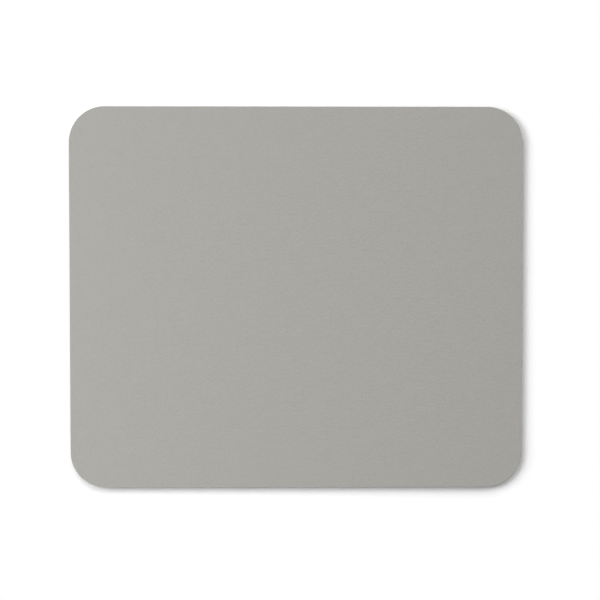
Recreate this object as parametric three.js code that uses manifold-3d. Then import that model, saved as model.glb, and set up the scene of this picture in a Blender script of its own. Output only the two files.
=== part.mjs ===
// A grey mouse pad with a leather-like grain, die-cut as one flat laminate with rounded corners.
// From the desk up: a treaded rubber base, a film of adhesive, a foam core, a second film of adhesive,
// the carrier cloth of the synthetic leather, and its grained wear skin.
// Millimetres, +Z up, +X along the long side. The origin is on the desk, under the middle of the pad.

import * as THREE from 'three';
import { mergeVertices } from 'three/addons/utils/BufferGeometryUtils.js';
import Module from 'manifold-3d';

// Outline of the cutting die
const pad_width = 241.3;
const pad_depth = 203.2;
const corner_radius = 19.05;
const corner_divisions = 8;

// Wear skin: the blade cuts its underside straight and drags its top edge down into a roll
const skin_thickness = 0.35;
const skin_straight_cut = 0.2;
const skin_roll_width = 0.3;
const skin_roll_steps = 5;

// Backing cloth: its cut loops draw back a little from the outline
const cloth_thickness = 0.45;
const cloth_setback = 0.1;

// Bonds: the films of adhesive stop a little short of the cut edge
const bond_thickness = 0.1;
const bond_setback = 0.2;

// Foam core: its side is dished, because the foam is pressed flat when the blade cuts it
const core_thickness = 1.4;
const core_dish = 0.25;
const core_dish_steps = 6;

// Grip base: a rubber sheet with zigzag channels moulded into its underside
const base_thickness = 0.8;
const tread_depth = 0.35;
const tread_pitch = 8;
const tread_wavelength = 24;
const tread_swing = 2.4;
const tread_mouth = 1.6;
const tread_wall_lean = 0.3;

// How far a cut runs past what it cuts
const overrun = 1;

const finishes = {
  skin: new THREE.MeshStandardMaterial({ color: 0xaaa9a4, roughness: 0.6, metalness: 0 }),
  cloth: new THREE.MeshStandardMaterial({ color: 0x8c8a86, roughness: 0.95, metalness: 0 }),
  adhesive: new THREE.MeshStandardMaterial({ color: 0xb9b09a, roughness: 0.4, metalness: 0 }),
  foam: new THREE.MeshStandardMaterial({ color: 0x4a4a4b, roughness: 0.9, metalness: 0 }),
  rubber: new THREE.MeshStandardMaterial({ color: 0x353638, roughness: 0.75, metalness: 0 }),
};

// The die's outline, anticlockwise from the near right corner
function dieOutline() {
  const x = pad_width / 2 - corner_radius;
  const y = pad_depth / 2 - corner_radius;
  const outline = new THREE.Shape();
  outline.absarc(x, -y, corner_radius, -Math.PI / 2, 0);
  outline.absarc(x, y, corner_radius, 0, Math.PI / 2);
  outline.absarc(-x, y, corner_radius, Math.PI / 2, Math.PI);
  outline.absarc(-x, -y, corner_radius, Math.PI, Math.PI * 1.5);
  return outline;
}

// One layer, cut to the outline. Its side runs through the rings of a profile, from the bottom up.
// A ring has a height in the layer and a setback, which is how far inside the outline it lies.
function dieCutLayer(profile) {
  const geometry = new THREE.ExtrudeGeometry(dieOutline(), {
    depth: profile.length - 1,
    steps: profile.length - 1,
    bevelEnabled: false,
    curveSegments: corner_divisions,
  });
  const points = geometry.getAttribute('position');
  for (let i = 0; i < points.count; i++) {
    const ring = profile[Math.round(points.getZ(i))];
    // Every point of the outline lies on the arc of a corner, so a ring shrinks towards the arcs' centres.
    const centre_x = Math.sign(points.getX(i)) * (pad_width / 2 - corner_radius);
    const centre_y = Math.sign(points.getY(i)) * (pad_depth / 2 - corner_radius);
    const shrink = 1 - ring.setback / corner_radius;
    const x = centre_x + (points.getX(i) - centre_x) * shrink;
    const y = centre_y + (points.getY(i) - centre_y) * shrink;
    points.setXYZ(i, x, y, ring.height);
  }
  geometry.computeVertexNormals();
  return geometry;
}

// A layer whose side is straight
function straightLayer(thickness, setback) {
  return dieCutLayer([
    { height: 0, setback },
    { height: thickness, setback },
  ]);
}

// Wear skin, with a quarter of an ellipse rolled over its top edge
function wearSkin() {
  const roll_height = skin_thickness - skin_straight_cut;
  const profile = [{ height: 0, setback: 0 }];
  for (let step = 0; step <= skin_roll_steps; step++) {
    const turn = (step / skin_roll_steps) * (Math.PI / 2);
    profile.push({
      height: skin_straight_cut + roll_height * Math.sin(turn),
      setback: skin_roll_width * (1 - Math.cos(turn)),
    });
  }
  return dieCutLayer(profile);
}

// Foam core, with half a sine wave pressed into its side
function foamCore() {
  const profile = [];
  for (let step = 0; step <= core_dish_steps; step++) {
    const height_share = step / core_dish_steps;
    profile.push({
      height: core_thickness * height_share,
      setback: core_dish * Math.sin(height_share * Math.PI),
    });
  }
  return dieCutLayer(profile);
}

const wasm = await Module();
wasm.setup();

// A closed geometry as a solid that can be cut
function solidOf(geometry) {
  const bare = geometry.clone();
  bare.deleteAttribute('normal');
  bare.deleteAttribute('uv');
  const merged = mergeVertices(bare);
  return new wasm.Manifold(new wasm.Mesh({
    numProp: 3,
    vertProperties: merged.getAttribute('position').array,
    triVerts: new Uint32Array(merged.index.array),
  }));
}

// A cut solid as a geometry again
function geometryOf(solid) {
  const mesh = solid.getMesh();
  const geometry = new THREE.BufferGeometry();
  geometry.setAttribute('position', new THREE.BufferAttribute(mesh.vertProperties, 3));
  geometry.setIndex(new THREE.BufferAttribute(mesh.triVerts, 1));
  geometry.computeVertexNormals();
  return geometry;
}

// What one channel of the tread takes out: a groove with leaning walls, run along X in straight legs
// and swung to and fro at every turn. The middle of a leg is over the middle of the pad.
function treadChannel() {
  const leg = tread_wavelength / 2;
  const legs = 2 * Math.ceil((pad_width / 2 + overrun) / leg - 0.5) + 1;
  const half_mouth = tread_mouth / 2;
  const half_floor = half_mouth - tread_wall_lean;
  const half_start = half_mouth + (tread_wall_lean * overrun) / tread_depth;
  const section = new THREE.Shape([
    new THREE.Vector2(-half_start, -overrun),
    new THREE.Vector2(half_start, -overrun),
    new THREE.Vector2(half_floor, tread_depth),
    new THREE.Vector2(-half_floor, tread_depth),
  ]);
  const channel = new THREE.ExtrudeGeometry(section, {
    depth: legs,
    steps: legs,
    bevelEnabled: false,
  });
  const points = channel.getAttribute('position');
  for (let i = 0; i < points.count; i++) {
    const turn = Math.round(points.getZ(i));
    const swing = turn % 2 === 0 ? tread_swing : -tread_swing;
    points.setXYZ(i, (turn - legs / 2) * leg, points.getX(i) + swing, points.getY(i));
  }
  return channel;
}

// Grip base, with as many channels as fit between its two long sides
function gripBase() {
  const reach = pad_depth / 2 - tread_swing - tread_mouth / 2;
  const rows_each_way = Math.floor(reach / tread_pitch);
  let sheet = solidOf(straightLayer(base_thickness, 0));
  for (let row = -rows_each_way; row < rows_each_way; row++) {
    const channel = treadChannel().translate(0, (row + 0.5) * tread_pitch, 0);
    sheet = sheet.subtract(solidOf(channel));
  }
  return geometryOf(sheet);
}

// The laminate, from the desk up
const layers = [
  { name: 'grip_base', thickness: base_thickness, shape: gripBase(), finish: finishes.rubber },
  {
    name: 'lower_bond',
    thickness: bond_thickness,
    shape: straightLayer(bond_thickness, bond_setback),
    finish: finishes.adhesive,
  },
  { name: 'foam_core', thickness: core_thickness, shape: foamCore(), finish: finishes.foam },
  {
    name: 'upper_bond',
    thickness: bond_thickness,
    shape: straightLayer(bond_thickness, bond_setback),
    finish: finishes.adhesive,
  },
  {
    name: 'backing_cloth',
    thickness: cloth_thickness,
    shape: straightLayer(cloth_thickness, cloth_setback),
    finish: finishes.cloth,
  },
  { name: 'wear_skin', thickness: skin_thickness, shape: wearSkin(), finish: finishes.skin },
];

const mouse_pad = new THREE.Group();
let seat = 0;
for (const layer of layers) {
  const mesh = new THREE.Mesh(layer.shape, layer.finish);
  mesh.name = layer.name;
  mesh.position.z = seat;
  mouse_pad.add(mesh);
  // A mesh keeps 32-bit numbers, so the next layer is laid on this thickness as the mesh holds it.
  seat += Math.fround(layer.thickness);
}

export default mouse_pad;
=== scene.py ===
"""The finish of a grey mouse pad with a leather-like grain.

The pad is a flat laminate, cut out in one stroke with rounded corners: a treaded rubber base, a foam
core and a synthetic leather on its carrier cloth, with a film of adhesive on each side of the core.
Each layer fills the space that the frame gives it, and bears the marks of the blade on its cut side.
Lengths are in metres. +X is along the long side, and +Z is up, out of the mousing surface.
"""

import math

import bmesh
import bpy
from bpy.props import FloatProperty, FloatVectorProperty, IntProperty, PointerProperty
from mathutils import Euler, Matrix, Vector, noise


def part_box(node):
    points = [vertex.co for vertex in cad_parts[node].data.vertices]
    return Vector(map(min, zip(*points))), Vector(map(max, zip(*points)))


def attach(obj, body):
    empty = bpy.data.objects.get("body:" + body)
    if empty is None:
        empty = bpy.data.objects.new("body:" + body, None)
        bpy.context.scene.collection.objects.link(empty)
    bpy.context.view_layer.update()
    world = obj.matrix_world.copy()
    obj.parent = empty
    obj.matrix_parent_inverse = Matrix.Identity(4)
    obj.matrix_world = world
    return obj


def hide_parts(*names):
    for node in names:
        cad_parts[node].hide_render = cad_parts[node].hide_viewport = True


bl_info = {
    "name": "Leather-grained mouse pad",
    "version": (1, 0, 0),
    "blender": (4, 5, 0),
    "location": "3D View > Sidebar > Mouse Pad",
    "description": "Models the layers of a die-cut mouse pad and a plain studio around it",
    "category": "Add Mesh",
}

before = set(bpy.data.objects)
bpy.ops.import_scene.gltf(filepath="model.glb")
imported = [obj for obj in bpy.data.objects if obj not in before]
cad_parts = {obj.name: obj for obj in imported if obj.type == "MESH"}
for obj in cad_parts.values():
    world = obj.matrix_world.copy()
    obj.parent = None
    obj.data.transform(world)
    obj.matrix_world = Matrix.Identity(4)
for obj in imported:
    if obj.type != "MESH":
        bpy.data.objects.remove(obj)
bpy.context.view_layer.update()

MM = 0.001
BODY = "root"

# Faces that meet at more than this show a sharp edge.
CREASE_ANGLE = math.radians(40)

# A point nearer to a cut than this lies on it.
CUT_TOLERANCE = 0.0001 * MM


def length(name, description, default):
    return FloatProperty(name=name, description=description, default=default, unit="LENGTH")


def angle(name, description, degrees):
    default = math.radians(degrees)
    return FloatProperty(name=name, description=description, default=default, unit="ROTATION")


def light(name, description, default):
    return FloatProperty(name=name, description=description, default=default, min=0)


def colour(name, description, default):
    return FloatVectorProperty(
        name=name, description=description, default=default, subtype="COLOR", min=0, max=1
    )


class PadSizes(bpy.types.PropertyGroup):
    """Sizes of the laminate that the boxes of the frame don't give"""

    corner_radius: length("Corner Radius", "Radius of the outline's corners", 19.05 * MM)
    corner_steps: IntProperty(
        name="Corner Steps", description="Straight steps in each corner of the outline", default=24
    )
    skin_pitch: length("Skin Pitch", "Mesh spacing on the face of the wear skin", 0.8 * MM)
    roll_width: length("Roll Width", "Reach of the wear skin's rolled edge", 0.3 * MM)
    straight_cut: length("Straight Cut", "Height of the wear skin's side below its roll", 0.2 * MM)
    cloth_setback: length("Cloth Setback", "How far the cloth stops inside the outline", 0.1 * MM)
    bond_setback: length("Bond Setback", "How far the adhesive stops inside the outline", 0.2 * MM)
    foam_dish: length("Foam Dish", "How far the foam's side draws in at mid height", 0.25 * MM)
    tread_pitch: length("Tread Pitch", "Spacing of the channels in the underside", 8 * MM)
    tread_wavelength: length("Tread Wavelength", "Length of one zig and one zag", 24 * MM)
    tread_swing: length("Tread Swing", "How far a channel swings to each side", 2.4 * MM)
    tread_mouth: length("Tread Mouth", "Width of a channel where it opens", 1.6 * MM)
    tread_wall_lean: length("Tread Wall Lean", "How far a channel's wall leans in", 0.3 * MM)
    tread_depth: length("Tread Depth", "Depth of a channel", 0.35 * MM)


class PadColours(bpy.types.PropertyGroup):
    """Base colours of the layers"""

    skin: colour("Skin", "Warm grey of the grained film", (0.419, 0.411, 0.385))
    cloth: colour("Cloth", "Knitted carrier of the film", (0.29, 0.285, 0.27))
    adhesive: colour("Adhesive", "Dried contact adhesive", (0.42, 0.38, 0.29))
    foam: colour("Foam", "Closed-cell foam of the core", (0.075, 0.075, 0.078))
    rubber: colour("Rubber", "Treaded rubber of the base", (0.035, 0.036, 0.039))


class StudioSettings(bpy.types.PropertyGroup):
    """The camera, the floor and the light"""

    lens: FloatProperty(name="Lens", description="Focal length", default=85, unit="CAMERA")
    camera_distance: length("Camera Distance", "From the lens to the mousing surface", 755.7 * MM)
    lean_far: angle("Lean Far", "How far the camera leans over the pad's far side", 2.06)
    lean_left: angle("Lean Left", "How far the camera leans over the pad's left side", 0.9)
    aim_right: length("Aim Right", "How far right of the pad's middle the camera aims", 1.92 * MM)
    aim_far: length("Aim Far", "How far beyond the pad's middle the camera aims", -1.2 * MM)
    floor_white: light("Floor White", "Share of its light that the floor gives back to the pad", 0.8)
    floor_exposure: light("Floor Exposure", "Share of its light that the floor shows the camera", 1.225)
    ambient_light: light("Ambient Light", "Even light from all round", 0.07)
    left_light: light("Left Light", "Light of the softbox on the left", 0.316)
    far_light: light("Far Light", "Light of the softbox beyond the far side", 0.176)
    right_light: light("Right Light", "Light of the large softbox at the far right", 0.288)
    near_light: light("Near Light", "Light of the small lamp close to the left", 0.21)


class Outline:
    """The outline that the die cuts: a rectangle around the origin, with round corners."""

    def __init__(self, node, radius):
        low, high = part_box(node)
        self.half = (high - low).xy / 2
        self.radius = radius
        self.core = self.half - Vector((radius, radius))

    def centre_of(self, place):
        """The nearest point of the rectangle between the corners' centres, one radius inside."""
        return Vector((
            max(-self.core.x, min(self.core.x, place.x)),
            max(-self.core.y, min(self.core.y, place.y)),
        ))

    def inset(self, place, setback, height):
        """The place on the outline beside a given one, moved in by a setback, at a height."""
        centre = self.centre_of(place)
        outward = (place.xy - centre).normalized()
        return (centre + outward * (self.radius - setback)).to_3d() + Vector((0, 0, height))

    def margin(self, place):
        """How far a place lies inside the outline."""
        reach = (place.xy - self.centre_of(place)).length
        if reach > 0:
            return self.radius - reach
        return min(self.half.x - abs(place.x), self.half.y - abs(place.y))

    def along(self, place):
        """Distance along the outline from the middle of its left or right side, whichever is nearer."""
        folded = Vector((abs(place.x), abs(place.y)))
        centre = self.centre_of(folded)
        turn = math.atan2(folded.y - centre.y, folded.x - centre.x)
        return centre.y + self.radius * turn + self.core.x - centre.x

    def draw(self, bm, corner_steps, spacing):
        """One level face with this outline, and a vertex about every spacing along it."""
        bmesh.ops.create_grid(bm, x_segments=1, y_segments=1, size=1)
        bmesh.ops.scale(bm, vec=(*self.half, 1), verts=bm.verts)
        bmesh.ops.bevel(
            bm,
            geom=bm.verts[:],
            offset=self.radius,
            offset_type="OFFSET",
            segments=corner_steps,
            profile=0.5,
            affect="VERTICES",
            material=-1,
        )
        for edge in bm.edges[:]:
            cuts = round(edge.calc_length() / spacing) - 1
            if cuts > 0:
                bmesh.ops.subdivide_edges(bm, edges=[edge], cuts=cuts)


def extrude_rim(bm, place):
    """Draws the open rim of a layer on by one ring, and puts its vertices where place says."""
    rim = [edge for edge in bm.edges if edge.is_boundary]
    made = bmesh.ops.extrude_edge_only(bm, edges=rim)["geom"]
    for vertex in made:
        if isinstance(vertex, bmesh.types.BMVert):
            vertex.co = place(vertex.co)


def close_layer(bm):
    """Closes the open rim of a layer with one flat face, and turns all faces outwards."""
    rim = [edge for edge in bm.edges if edge.is_boundary]
    bmesh.ops.contextual_create(bm, geom=rim)
    bmesh.ops.recalc_face_normals(bm, faces=bm.faces)


def raise_layer(node, sizes, spacing, rings, setback):
    """A layer that rises through rings from its underside to its top.

    setback says how far a place of its side lies inside the outline, from the place on the
    outline and from its share of the layer's height."""
    low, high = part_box(node)
    outline = Outline("grip_base", sizes.corner_radius)
    bm = bmesh.new()
    outline.draw(bm, sizes.corner_steps, spacing)

    def ring(share):
        height = low.z + (high.z - low.z) * share

        def place(co):
            edge = outline.inset(co, 0, height)
            return outline.inset(co, setback(edge, share), height)

        return place

    for vertex in bm.verts:
        vertex.co = ring(0)(vertex.co)
    for index in range(1, rings + 1):
        extrude_rim(bm, ring(index / rings))
    close_layer(bm)
    return bm


def finish_piece(name, bm, node, material):
    """Makes a layer's mesh a smooth object that stands for its node of the frame."""
    mesh = bpy.data.meshes.new(name)
    bm.to_mesh(mesh)
    bm.free()
    mesh.shade_smooth()
    mesh.set_sharp_from_angle(angle=CREASE_ANGLE)
    mesh.materials.append(material)
    piece = bpy.data.objects.new(name, mesh)
    bpy.context.scene.collection.objects.link(piece)
    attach(piece, BODY)
    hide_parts(node)
    return piece


# Finishes


class NodeSheet:
    """A node tree whose nodes are added one call at a time."""

    def __init__(self, tree):
        self.tree = tree

    def node(self, kind, inputs=(), **settings):
        """A new node. An input takes a value, or the output of another node."""
        made = self.tree.nodes.new(kind)
        for name, value in settings.items():
            setattr(made, name, value)
        for key, value in dict(inputs).items():
            if isinstance(value, bpy.types.NodeSocket):
                self.tree.links.new(value, made.inputs[key])
            else:
                made.inputs[key].default_value = value
        return made

    def math(self, operation, *values):
        """The result of one step of arithmetic on numbers."""
        return self.node("ShaderNodeMath", enumerate(values), operation=operation).outputs[0]

    def vector(self, operation, *values):
        """The outputs of one step of arithmetic on places."""
        return self.node("ShaderNodeVectorMath", enumerate(values), operation=operation).outputs

    def ramp(self, value, start, end, low=0, high=1):
        """A pattern that goes from low to high while a value goes from start to end."""
        inputs = enumerate((value, start, end, low, high))
        return self.node("ShaderNodeMapRange", inputs).outputs[0]


class Finish(NodeSheet):
    """A material that is built on the piece's own coordinates."""

    def __init__(self, name, base, roughness, specular=0.5):
        self.material = bpy.data.materials.new(name)
        self.material.use_nodes = True
        super().__init__(self.material.node_tree)
        self.base = Vector(base)
        self.shader = self.tree.nodes["Principled BSDF"]
        self.shader.inputs["Roughness"].default_value = roughness
        self.shader.inputs["Specular IOR Level"].default_value = specular
        self.place = self.node("ShaderNodeTexCoord").outputs["Object"]

    def clouds(self, size, detail=2):
        """Soft noise with lumps of a size, from 0 to 1."""
        inputs = {"Vector": self.place, "Scale": 1 / size, "Detail": detail}
        return self.node("ShaderNodeTexNoise", inputs).outputs["Fac"]

    def cells(self, size, feature, place=None, dimensions="3D"):
        """Distance from the middles or the edges of cells of a size, counted in cells."""
        return self.node(
            "ShaderNodeTexVoronoi",
            {"Vector": place or self.place, "Scale": 1 / size},
            feature=feature,
            voronoi_dimensions=dimensions,
        ).outputs["Distance"]

    def warped(self, size, reach):
        """The place, pushed about a little, so that a pattern on it doesn't run straight."""
        inputs = {"Vector": self.place, "Scale": 1 / size, "Detail": 1}
        push = self.node("ShaderNodeTexNoise", inputs).outputs["Color"]
        return self.vector("MULTIPLY_ADD", push, [reach] * 3, self.place)["Vector"]

    def layered(self, pattern, *others):
        """A pattern with others added to it, each as its weight and the pattern."""
        for weight, other in others:
            pattern = self.math("MULTIPLY_ADD", other, weight, pattern)
        return pattern

    def tint(self, pattern, start, end):
        """Colours the piece with one share of its base colour where a pattern is 0, and with
        another where it is 1."""
        ends = [(*self.base * share, 1) for share in (start, end)]
        # A mix node has a socket of each name for every kind of value, so these go by number.
        mix = self.node("ShaderNodeMix", {0: pattern, 6: ends[0], 7: ends[1]}, data_type="RGBA")
        self.tree.links.new(mix.outputs[2], self.shader.inputs["Base Color"])

    def gloss(self, roughness):
        """Lets the roughness follow a pattern."""
        self.tree.links.new(roughness, self.shader.inputs["Roughness"])

    def emboss(self, height, depth):
        """Shades the piece as if a pattern stood out of it by a depth."""
        inputs = {"Height": height, "Distance": depth, "Strength": 1}
        bump = self.node("ShaderNodeBump", inputs).outputs[0]
        self.tree.links.new(bump, self.shader.inputs["Normal"])


def leather_finish(base):
    """Matt synthetic leather: small domed pebbles, with deeper creases between groups of them."""
    pebble_size = 1.7 * MM
    group_size = 5 * MM
    swell_size = 6 * MM
    speck_size = 0.3 * MM
    bend_size = 3 * MM
    bend_reach = 0.9 * MM
    relief_depth = 0.038 * MM
    finish = Finish("grained_film", base, roughness=0.7, specular=0.3)
    place = finish.warped(bend_size, bend_reach)
    middles = finish.cells(pebble_size, "SMOOTH_F1", place, "2D")
    creases = finish.cells(pebble_size, "DISTANCE_TO_EDGE", place, "2D")
    deep_creases = finish.cells(group_size, "DISTANCE_TO_EDGE", place, "2D")
    domes = finish.ramp(middles, 0, 0.7, low=1, high=0)
    pebbles = finish.ramp(creases, 0, 0.3)
    groups = finish.ramp(deep_creases, 0, 0.12)
    swells = finish.clouds(swell_size)
    specks = finish.clouds(speck_size, detail=1)
    relief = finish.layered(domes, (0.4, pebbles), (0.4, groups), (0.8, swells), (0.06, specks))
    finish.emboss(relief, relief_depth)
    # Painted shade: the film is darker in the creases between pebbles and between groups, and the wide
    # swells vary its tone.
    crease_shade_and_tone = finish.layered(swells, (0.5, groups), (0.8, pebbles))
    finish.tint(finish.ramp(crease_shade_and_tone, 0.4, 1.9), 0.95, 1.018)
    finish.gloss(finish.ramp(domes, 0, 1, low=0.76, high=0.66))
    return finish.material


def knit_finish(base):
    """Cut edge of a fine knit: pale fibre ends, with painted shade in the darker gaps between them."""
    loop_size = 0.35 * MM
    fibre_size = 0.08 * MM
    bend_size = 0.5 * MM
    bend_reach = 0.2 * MM
    relief_depth = 0.04 * MM
    finish = Finish("knit_backing", base, roughness=0.95)
    finish.shader.inputs["Sheen Weight"].default_value = 0.3
    loops = finish.cells(loop_size, "F1", finish.warped(bend_size, bend_reach))
    # Painted shade: the gaps between the fibre ends are darker than the fibre ends.
    finish.tint(finish.ramp(loops, 0.1, 0.8), 1.25, 0.6)
    finish.emboss(finish.layered(loops, (0.4, finish.clouds(fibre_size))), relief_depth)
    return finish.material


def adhesive_finish(base):
    """Dried adhesive, a little glossy and uneven."""
    streak_size = 0.6 * MM
    streak_depth = 0.02 * MM
    finish = Finish("contact_adhesive", base, roughness=0.35)
    streaks = finish.clouds(streak_size)
    finish.tint(streaks, 0.8, 1.15)
    finish.emboss(streaks, streak_depth)
    return finish.material


def foam_finish(base):
    """Cut side of a closed-cell foam: open cells of mixed size, painted dark inside as shade and paler
    on their rims.
    """
    large_size = 0.3 * MM
    small_size = 0.13 * MM
    bend_size = 0.6 * MM
    bend_reach = 0.25 * MM
    pit_depth = 0.08 * MM
    finish = Finish("foam_rubber", base, roughness=0.9)
    place = finish.warped(bend_size, bend_reach)
    large = finish.cells(large_size, "F1", place)
    small = finish.cells(small_size, "F1", place)
    pits = finish.layered(large, (0.4, small))
    # Painted shade: each open cell is darker at its bottom, and the rims between the cells are paler.
    finish.tint(finish.ramp(pits, 0.15, 1), 0.45, 1.45)
    finish.emboss(pits, pit_depth)
    return finish.material


def rubber_finish(base):
    """Dark rubber, with the sandblasted texture of its mould and a faint bloom."""
    bloom_size = 14 * MM
    grit_size = 0.3 * MM
    grit_depth = 0.03 * MM
    finish = Finish("tread_rubber", base, roughness=0.6)
    bloom = finish.clouds(bloom_size, detail=4)
    finish.tint(bloom, 0.85, 1.3)
    finish.gloss(finish.ramp(bloom, 0.3, 0.7, low=0.56, high=0.68))
    finish.emboss(finish.clouds(grit_size, detail=3), grit_depth)
    return finish.material


# Layers


class MOUSE_PAD_OT_add_wear_skin(bpy.types.Operator):
    """Add the grained film, with the edge that the blade rolls over"""

    bl_idname = "mouse_pad.add_wear_skin"
    bl_label = "Add Wear Skin"
    bl_options = {"REGISTER", "UNDO"}

    roll_steps: IntProperty(name="Roll Steps", description="Rows across the roll", default=7)
    roll_fullness: FloatProperty(
        name="Roll Fullness", description="2 rolls like an ellipse, and more is fuller", default=5
    )
    shoulder_drop: length("Shoulder Drop", "How far the face sinks at its edge", 0.006 * MM)
    shoulder_reach: length("Shoulder Reach", "How far in that sinking fades", 0.9 * MM)
    unevenness: length("Unevenness", "How far the face is from dead flat", 0.02 * MM)
    swell_size: length("Swell Size", "Size of the face's wide swells", 38 * MM)
    ripple_size: length("Ripple Size", "Size of the ripples on them", 9 * MM)

    def execute(self, context):
        # How high a ripple is beside a swell, and the share that keeps both within the unevenness
        ripple_share = 0.35
        wave_share = 0.37
        sizes = context.scene.mouse_pad_sizes
        low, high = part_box("wear_skin")
        outline = Outline("wear_skin", sizes.corner_radius)
        roll_height = high.z - low.z - sizes.straight_cut

        def sink(place):
            """How far a place of the face lies below its highest one."""
            margin = outline.margin(place)
            across = max(0, 1 - margin / sizes.roll_width)
            fullness = self.roll_fullness
            roll = roll_height * (1 - max(0, 1 - across**fullness) ** (1 / fullness))
            shoulder = self.shoulder_drop * math.exp(-margin / self.shoulder_reach)
            ripple = noise.noise(place / self.ripple_size)
            waves = noise.noise(place / self.swell_size) + ripple_share * ripple
            dip = self.unevenness * (0.5 - wave_share * waves)
            return roll + (1 - across) * (shoulder + dip)

        bm = self.create_face(outline, sizes)
        for vertex in bm.verts:
            vertex.co.z = high.z - sink(vertex.co)
        extrude_rim(bm, lambda co: Vector((*co.xy, low.z)))
        close_layer(bm)
        material = leather_finish(context.scene.mouse_pad_colours.skin)
        piece = finish_piece("grained_wear_skin", bm, "wear_skin", material)
        return {"FINISHED"}

    def create_face(self, outline, sizes):
        """A level grid over the outline, with close rows across the roll.

        Near a corner the rows are drawn onto arcs, so that each keeps its margin all round."""
        # Where the face has its first rows beside the roll, as shares of the shoulder's reach
        shoulder_shares = (0.4, 0.9)
        turns = [k / self.roll_steps * math.pi / 2 for k in range(self.roll_steps + 1)]
        reaches = [math.cos(turn) ** (2 / self.roll_fullness) for turn in turns]
        margins = [sizes.roll_width * (1 - reach) for reach in reaches]
        margins += [margins[-1] + self.shoulder_reach * share for share in shoulder_shares]
        lines = []
        for half in outline.half:
            inner = half - margins[-1]
            steps = round(2 * inner / sizes.skin_pitch)
            middle = [-inner + 2 * inner * k / steps for k in range(1, steps)]
            near = [margin - half for margin in margins]
            lines.append(near + middle + [-line for line in reversed(near)])
        bm = bmesh.new()
        steps = [len(line) - 1 for line in lines]
        bmesh.ops.create_grid(bm, x_segments=steps[0], y_segments=steps[1], size=1)
        # The grid runs from -1 to 1 each way, which says where in the lines a vertex belongs.
        for vertex in bm.verts:
            x, y = (
                line[round((share + 1) / 2 * (len(line) - 1))]
                for line, share in zip(lines, vertex.co.xy)
            )
            centre = outline.centre_of(Vector((x, y)))
            off = Vector((x, y)) - centre
            if off.x and off.y:
                off *= max(abs(off.x), abs(off.y)) / off.length
            vertex.co = (centre + off).to_3d()
        return bm


class MOUSE_PAD_OT_add_backing_cloth(bpy.types.Operator):
    """Add the knitted carrier of the film, with its cut loops"""

    bl_idname = "mouse_pad.add_backing_cloth"
    bl_label = "Add Backing Cloth"
    bl_options = {"REGISTER", "UNDO"}

    loop_pitch: length("Loop Pitch", "Spacing of the cut loops", 1.1 * MM)
    loop_height: length("Loop Height", "How far a loop stands out", 0.07 * MM)
    fray_size: length("Fray Size", "Size of the loose fibres' unevenness", 0.5 * MM)
    spacing: length("Spacing", "Mesh spacing along the side", 0.25 * MM)
    rings: IntProperty(name="Rings", description="Rows up the side", default=4)

    def execute(self, context):
        # How far the loose fibres stand out, beside the loops
        fray_share = 0.3
        sizes = context.scene.mouse_pad_sizes
        outline = Outline("backing_cloth", sizes.corner_radius - sizes.cloth_setback)

        def setback(place, share):
            bulge = math.sin(math.pi * share)
            loop = math.sin(math.pi * outline.along(place) / self.loop_pitch) ** 2
            frayed = noise.noise(place / self.fray_size) * fray_share
            return sizes.cloth_setback + self.loop_height * (0.5 - loop + frayed) * bulge

        bm = raise_layer("backing_cloth", sizes, self.spacing, self.rings, setback)
        material = knit_finish(context.scene.mouse_pad_colours.cloth)
        piece = finish_piece("knit_backing_cloth", bm, "backing_cloth", material)
        return {"FINISHED"}


class MOUSE_PAD_OT_add_bonds(bpy.types.Operator):
    """Add the two films of adhesive, one on each side of the foam"""

    bl_idname = "mouse_pad.add_bonds"
    bl_label = "Add Bonds"
    bl_options = {"REGISTER", "UNDO"}

    waver: length("Waver", "How far a film's edge wavers", 0.08 * MM)
    waver_size: length("Waver Size", "Size of a waver along the edge", 2.2 * MM)
    spacing: length("Spacing", "Mesh spacing along the side", 0.8 * MM)
    rings: IntProperty(name="Rings", description="Rows up the side", default=1)

    def execute(self, context):
        sizes = context.scene.mouse_pad_sizes
        material = adhesive_finish(context.scene.mouse_pad_colours.adhesive)

        def setback(place, share):
            return sizes.bond_setback + self.waver * noise.noise(place / self.waver_size)

        for node in ("lower_bond", "upper_bond"):
            bm = raise_layer(node, sizes, self.spacing, self.rings, setback)
            finish_piece(node + "_film", bm, node, material)
        return {"FINISHED"}


class MOUSE_PAD_OT_add_foam_core(bpy.types.Operator):
    """Add the foam, with the dished and pitted side of its cut"""

    bl_idname = "mouse_pad.add_foam_core"
    bl_label = "Add Foam Core"
    bl_options = {"REGISTER", "UNDO"}

    pit_size: length("Pit Size", "Size of the larger open cells", 0.9 * MM)
    pit_depth: length("Pit Depth", "Depth of the larger open cells", 0.05 * MM)
    spacing: length("Spacing", "Mesh spacing along the side", 0.4 * MM)
    rings: IntProperty(name="Rings", description="Rows up the side", default=8)

    def execute(self, context):
        sizes = context.scene.mouse_pad_sizes

        def setback(place, share):
            bulge = math.sin(math.pi * share)
            nearest = noise.voronoi(place / self.pit_size)[0][0]
            return (sizes.foam_dish - self.pit_depth * nearest) * bulge

        bm = raise_layer("foam_core", sizes, self.spacing, self.rings, setback)
        material = foam_finish(context.scene.mouse_pad_colours.foam)
        piece = finish_piece("foam_core_sheet", bm, "foam_core", material)
        return {"FINISHED"}


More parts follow.
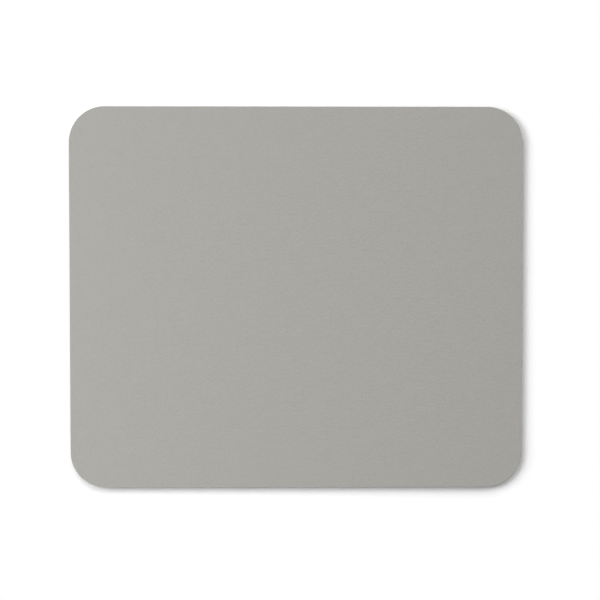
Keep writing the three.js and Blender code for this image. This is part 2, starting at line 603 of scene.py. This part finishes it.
class MOUSE_PAD_OT_add_grip_base(bpy.types.Operator):
    """Add the rubber sheet, with the zigzag tread of its underside"""

    bl_idname = "mouse_pad.add_grip_base"
    bl_label = "Add Grip Base"
    bl_options = {"REGISTER", "UNDO"}

    leg_steps: IntProperty(name="Leg Steps", description="Columns in one leg", default=6)
    wall_steps: IntProperty(name="Wall Steps", description="Rows on one wall", default=5)
    lip_width: length("Lip Width", "Reach of the rounding beside a channel's mouth", 0.15 * MM)
    sharpness: FloatProperty(
        name="Sharpness", description="1 is a sharp turn, and less rounds it", default=0.985
    )

    def execute(self, context):
        sizes = context.scene.mouse_pad_sizes
        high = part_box("grip_base")[1]
        outline = Outline("grip_base", sizes.corner_radius)
        bm = self.create_tread(outline, sizes)
        self.trim(bm, outline, sizes.corner_steps)
        extrude_rim(bm, lambda co: Vector((*co.xy, high.z)))
        close_layer(bm)
        material = rubber_finish(context.scene.mouse_pad_colours.rubber)
        finish_piece("treaded_grip_base", bm, "grip_base", material)
        return {"FINISHED"}

    def create_tread(self, outline, sizes):
        """The underside: a sheet pressed up into channels, and sheared along their zigzag."""
        half_mouth = sizes.tread_mouth / 2
        shares = [k / self.wall_steps for k in range(self.wall_steps + 1)]
        # One side of a channel: the flat beside its mouth, and its wall, which rises in a soft S
        widths = [half_mouth + self.lip_width]
        widths += [half_mouth - sizes.tread_wall_lean * share for share in shares]
        rises = [0] + [sizes.tread_depth * share**2 * (3 - 2 * share) for share in shares]
        # Both sides, with the middle of the roof between them
        offsets = [-width for width in widths] + [0] + widths[::-1]
        channel = list(zip(offsets, rises + rises[-1:] + rises[::-1]))
        reach = outline.half.y - sizes.tread_swing - half_mouth
        each_way = math.floor(reach / sizes.tread_pitch)
        middles = [(k + 0.5) * sizes.tread_pitch for k in range(-each_way, each_way)]
        # The first and last rows stay clear of the outline where the zigzag swings inwards.
        border = outline.half.y + 2 * sizes.tread_swing
        rows = [(-border, 0)]
        rows += [(middle + offset, rise) for middle in middles for offset, rise in channel]
        rows += [(border, 0)]
        leg = sizes.tread_wavelength / 2
        legs = 2 * math.ceil(outline.half.x / leg) + 2

        bm = bmesh.new()
        steps = len(rows) - 1
        bmesh.ops.create_grid(bm, x_segments=legs * self.leg_steps, y_segments=steps, size=1)
        # The grid runs from -1 to 1 each way. Its rows swing to and fro, with rounded turns.
        for vertex in bm.verts:
            y, rise = rows[round((vertex.co.y + 1) / 2 * steps)]
            wave = math.asin(self.sharpness * math.sin(math.pi * vertex.co.x * legs / 2))
            swing = sizes.tread_swing * wave / math.asin(self.sharpness)
            vertex.co = Vector((vertex.co.x * legs / 2 * leg, y + swing, rise))
        return bm

    def trim(self, bm, outline, corner_steps):
        """Cuts the sheet along every straight step of the outline."""
        step = math.pi / 2 / corner_steps
        cuts = []
        for quarter in range(4):
            start = quarter * math.pi / 2
            cuts.append((start, outline.half[quarter % 2], Vector()))
            middle = start + math.pi / 4
            centre = Vector((
                math.copysign(outline.core.x, math.cos(middle)),
                math.copysign(outline.core.y, math.sin(middle)),
                0,
            ))
            reach = outline.radius * math.cos(step / 2)
            cuts += [(start + (k + 0.5) * step, reach, centre) for k in range(corner_steps)]
        for bearing, reach, centre in cuts:
            outward = Vector((math.cos(bearing), math.sin(bearing), 0))
            bmesh.ops.bisect_plane(
                bm,
                geom=bm.verts[:] + bm.edges[:] + bm.faces[:],
                dist=CUT_TOLERANCE,
                plane_co=centre + outward * reach,
                plane_no=outward,
                clear_outer=True,
            )


# Studio


class StageSheet(NodeSheet):
    """The nodes of what stands around the pad."""

    def seen_directly(self):
        """1 for what is seen directly, in a mirror or through glass, and 0 for other light."""
        path = self.node("ShaderNodeLightPath").outputs
        mirrored = self.math("MAXIMUM", path["Is Glossy Ray"], path["Is Transmission Ray"])
        return self.math("MAXIMUM", path["Is Camera Ray"], mirrored)


class MOUSE_PAD_OT_add_studio(bpy.types.Operator):
    """Add the white floor, the soft lamps and the camera"""

    bl_idname = "mouse_pad.add_studio"
    bl_label = "Add Studio"
    bl_options = {"REGISTER", "UNDO"}

    floor_half: length("Floor Half", "Half the side of the floor", 6)
    shadow_reach: length("Shadow Reach", "How far from the pad its shadow ends", 10 * MM)
    shadow_fade: length("Shadow Fade", "How far beyond it the floor gets evenly white", 20 * MM)

    def execute(self, context):
        studio = context.scene.mouse_pad_studio
        self.add_floor(context, self.create_floor_white(studio, context.scene.mouse_pad_sizes))
        self.add_world(context, studio)
        self.add_lamp(
            context, "left_lamp", studio.left_light, azimuth=162, elevation=33, distance=2.75, side=1.52
        )
        self.add_lamp(
            context, "far_lamp", studio.far_light, azimuth=110, elevation=36, distance=3.2, side=1.55
        )
        self.add_lamp(
            context, "right_lamp", studio.right_light, azimuth=49.5, elevation=29, distance=6.5, side=6.5
        )
        self.add_lamp(
            context, "near_lamp", studio.near_light, azimuth=205, elevation=52, distance=0.65, side=0.56
        )
        self.add_camera(context, studio)
        context.scene.view_settings.view_transform = "Standard"
        return {"FINISHED"}

    def create_floor_white(self, studio, sizes):
        """White that shows the pad's shadow, and looks evenly white clear of it."""
        material = bpy.data.materials.new("floor_white")
        material.use_nodes = True
        sheet = StageSheet(material.node_tree)
        sheet.tree.nodes.clear()
        seen = sheet.seen_directly()
        white = sheet.ramp(seen, 0, 1, low=studio.floor_white, high=studio.floor_exposure)
        lit = sheet.node("ShaderNodeBsdfDiffuse", {"Color": white}).outputs[0]
        # The distance from the rectangle between the centres of the outline's corners
        outline = Outline("grip_base", sizes.corner_radius)
        place = sheet.node("ShaderNodeTexCoord").outputs["Object"]
        folded = sheet.vector("ABSOLUTE", place)["Vector"]
        beyond = sheet.vector("SUBTRACT", folded, outline.core.to_3d())["Vector"]
        beyond = sheet.vector("MAXIMUM", beyond, Vector())["Vector"]
        reach = sheet.vector("LENGTH", beyond)["Value"]
        start = outline.radius + self.shadow_reach
        clear = sheet.ramp(reach, start, start + self.shadow_fade)
        plain = sheet.node("ShaderNodeEmission").outputs[0]
        mixed = {0: sheet.math("MULTIPLY", clear, seen), 1: lit, 2: plain}
        surface = sheet.node("ShaderNodeMixShader", mixed).outputs[0]
        sheet.node("ShaderNodeOutputMaterial", {"Surface": surface})
        return material

    def add_floor(self, context, material):
        """One flat square under the pad, which is no part of it."""
        bm = bmesh.new()
        bmesh.ops.create_grid(bm, x_segments=1, y_segments=1, size=self.floor_half)
        mesh = bpy.data.meshes.new("floor")
        bm.to_mesh(mesh)
        bm.free()
        mesh.materials.append(material)
        floor = bpy.data.objects.new("floor", mesh)
        context.scene.collection.objects.link(floor)

    def add_world(self, context, studio):
        """A dim white all round, which looks plain white where it is seen directly."""
        world = bpy.data.worlds.new("studio_white")
        world.use_nodes = True
        sheet = StageSheet(world.node_tree)
        background = sheet.tree.nodes["Background"]
        background.inputs["Color"].default_value = (1, 1, 1, 1)
        strength = sheet.ramp(sheet.seen_directly(), 0, 1, low=studio.ambient_light, high=1)
        sheet.tree.links.new(strength, background.inputs["Strength"])
        context.scene.world = world

    def add_lamp(self, context, name, brightness, azimuth, elevation, distance, side):
        """A square lamp that faces the pad. Azimuth goes from +X towards +Y, in degrees.

        A small lamp of brightness 1 shows a colour as it is written. That takes a power of pi
        squared times the distance squared, over the sine of the elevation. A large lamp of the
        same power gives the pad a little less."""
        data = bpy.data.lights.new(name, "AREA")
        data.shape = "SQUARE"
        data.size = side
        around = math.radians(azimuth)
        up = math.radians(elevation)
        data.energy = brightness * math.pi**2 * distance**2 / math.sin(up)
        lamp = bpy.data.objects.new(name, data)
        away = Vector((
            math.cos(around) * math.cos(up), math.sin(around) * math.cos(up), math.sin(up)
        ))
        lamp.location = away * distance
        lamp.rotation_euler = away.to_track_quat("Z", "Y").to_euler()
        lamp.visible_camera = False
        context.scene.collection.objects.link(lamp)

    def add_camera(self, context, studio):
        """The camera above the pad, a little beyond its middle and to the left."""
        data = bpy.data.cameras.new("camera")
        data.lens = studio.lens
        camera = bpy.data.objects.new("camera", data)
        aim = Vector((studio.aim_right, studio.aim_far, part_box("wear_skin")[1].z))
        turn = Euler((-studio.lean_far, -studio.lean_left, 0))
        camera.location = aim + turn.to_matrix() @ Vector((0, 0, studio.camera_distance))
        camera.rotation_euler = turn
        context.scene.collection.objects.link(camera)
        context.scene.camera = camera


class MOUSE_PAD_PT_panel(bpy.types.Panel):
    """Lists the layers, the studio and their settings"""

    bl_label = "Mouse Pad"
    bl_idname = "MOUSE_PAD_PT_panel"
    bl_space_type = "VIEW_3D"
    bl_region_type = "UI"
    bl_category = "Mouse Pad"

    def draw(self, context):
        for operator in OPERATORS:
            self.layout.operator(operator.bl_idname)
        for group in ("mouse_pad_sizes", "mouse_pad_colours", "mouse_pad_studio"):
            settings = getattr(context.scene, group)
            box = self.layout.box()
            for name in settings.__annotations__:
                box.prop(settings, name)


OPERATORS = (
    MOUSE_PAD_OT_add_grip_base,
    MOUSE_PAD_OT_add_bonds,
    MOUSE_PAD_OT_add_foam_core,
    MOUSE_PAD_OT_add_backing_cloth,
    MOUSE_PAD_OT_add_wear_skin,
    MOUSE_PAD_OT_add_studio,
)
CLASSES = (PadSizes, PadColours, StudioSettings, *OPERATORS, MOUSE_PAD_PT_panel)


def register():
    for cls in CLASSES:
        bpy.utils.register_class(cls)
    bpy.types.Scene.mouse_pad_sizes = PointerProperty(type=PadSizes)
    bpy.types.Scene.mouse_pad_colours = PointerProperty(type=PadColours)
    bpy.types.Scene.mouse_pad_studio = PointerProperty(type=StudioSettings)


def unregister():
    del bpy.types.Scene.mouse_pad_studio
    del bpy.types.Scene.mouse_pad_colours
    del bpy.types.Scene.mouse_pad_sizes
    for cls in reversed(CLASSES):
        bpy.utils.unregister_class(cls)


def main():
    register()
    bpy.ops.mouse_pad.add_grip_base()
    bpy.ops.mouse_pad.add_bonds()
    bpy.ops.mouse_pad.add_foam_core()
    bpy.ops.mouse_pad.add_backing_cloth()
    bpy.ops.mouse_pad.add_wear_skin()
    bpy.ops.mouse_pad.add_studio()


if __name__ == "__main__":
    main()
